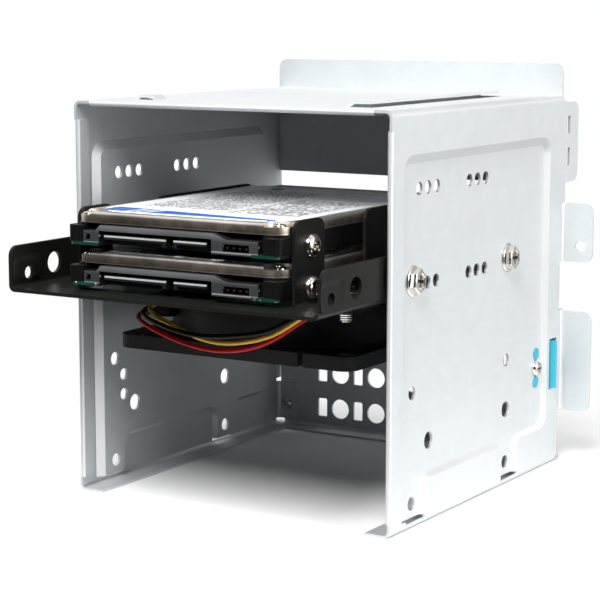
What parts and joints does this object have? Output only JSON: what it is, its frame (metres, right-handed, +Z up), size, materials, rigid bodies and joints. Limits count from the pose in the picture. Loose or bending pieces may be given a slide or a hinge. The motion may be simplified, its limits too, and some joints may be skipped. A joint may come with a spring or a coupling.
{
  "type": "drive mounting bracket",
  "caption": "Folded steel drive cage with a black carrier tray for stacked slim drives, a cooling fan on a three-wire lead under the tray and a blue release latch.",
  "frame": {"origin": "middle of the whole assembly's outline seen from above, at the underside of the base flanges", "axes": "+X towards the wall with the latch, +Y from the tray's open front to the rear panels, +Z up"},
  "size_m": [0.1178, 0.1562, 0.1265],
  "materials": {
    "cage_steel": "satin zinc-plated sheet",
    "rivet_steel": "satin",
    "tray_black": "semi-gloss black powder coat",
    "screw_nickel": "bright nickel plate",
    "drive_casting": "black electro-coated casting",
    "drive_cover": "satin stainless sheet",
    "drive_label": "printed film",
    "board_green": "solder mask",
    "plug_grey": "moulded",
    "contact_gold": "gold plate",
    "platter": "mirror polished",
    "arm_aluminium": "machined",
    "magnet_nickel": "nickel plate",
    "fan_black": "moulded",
    "bearing_bronze": "sintered",
    "core_steel": "laminated",
    "coil_copper": "enamelled wire",
    "shaft_steel": "ground",
    "magnet_rubber": "bonded magnet strip",
    "wire_yellow": "extruded",
    "wire_red": "extruded",
    "wire_black": "extruded",
    "latch_blue": "moulded"
  },
  "bodies": {
    "cage": {"bay_screws": "screw_nickel", "cage_shell": "cage_steel", "carrier_tray": "tray_black", "drive_screws": "screw_nickel", "fan_bearing": "bearing_bronze", "fan_board": "board_green", "fan_coils": "coil_copper", "fan_frame": "fan_black", "fan_lead_black": "wire_black", "fan_lead_red": "wire_red", "fan_lead_yellow": "wire_yellow", "fan_screws": "screw_nickel", "fan_stator": "core_steel", "latch_base": "latch_blue", "latch_screw": "screw_nickel", "lead_connector": "fan_black", "lower_coil_magnet": "magnet_nickel", "lower_cover_screws": "screw_nickel", "lower_drive_base": "drive_casting", "lower_drive_board": "board_green", "lower_drive_connector": "plug_grey", "lower_drive_contacts": "contact_gold", "lower_drive_cover": "drive_cover", "lower_drive_label": "drive_label", "lower_jumper_pins": "contact_gold", "panel_rivets": "rivet_steel", "rear_lower_panel": "cage_steel", "rear_upper_panel": "cage_steel", "upper_coil_magnet": "magnet_nickel", "upper_cover_screws": "screw_nickel", "upper_drive_base": "drive_casting", "upper_drive_board": "board_green", "upper_drive_connector": "plug_grey", "upper_drive_contacts": "contact_gold", "upper_drive_cover": "drive_cover", "upper_drive_label": "drive_label", "upper_jumper_pins": "contact_gold"},
    "fan_blades": {"fan_rotor": "fan_black", "fan_shaft": "shaft_steel", "rotor_magnet": "magnet_rubber"},
    "latch_arm": {"latch_arm": "latch_blue"},
    "lower_platters": {"lower_platters": "platter"},
    "lower_heads": {"lower_head_arm": "arm_aluminium"},
    "upper_platters": {"upper_platters": "platter"},
    "upper_heads": {"upper_head_arm": "arm_aluminium"}
  },
  "joints": [
    {"name": "fan_spin", "type": "hinge", "parent": "cage", "child": "fan_blades", "pos_m": [-0.0044, -0.00275, 0.06075], "axis": [0, 0, 1], "continuous": true},
    {"name": "latch_press", "type": "hinge", "parent": "cage", "child": "latch_arm", "pos_m": [0.04545, 0.0553, 0.0324], "axis": [0, 0, 1], "range_deg": [0, 12], "stiffness_Nm_per_rad": 0.2},
    {"name": "lower_platter_spin", "type": "hinge", "parent": "cage", "child": "lower_platters", "pos_m": [-0.0044, -0.00775, 0.0697], "axis": [0, 0, 1], "continuous": true},
    {"name": "lower_head_swing", "type": "hinge", "parent": "cage", "child": "lower_heads", "pos_m": [0.0126, -0.04675, 0.0697], "axis": [0, 0, 1], "range_deg": [-32, 0]},
    {"name": "upper_platter_spin", "type": "hinge", "parent": "cage", "child": "upper_platters", "pos_m": [-0.0044, -0.00775, 0.081], "axis": [0, 0, 1], "continuous": true},
    {"name": "upper_head_swing", "type": "hinge", "parent": "cage", "child": "upper_heads", "pos_m": [0.0126, -0.04675, 0.081], "axis": [0, 0, 1], "range_deg": [-32, 0]}
  ]
}
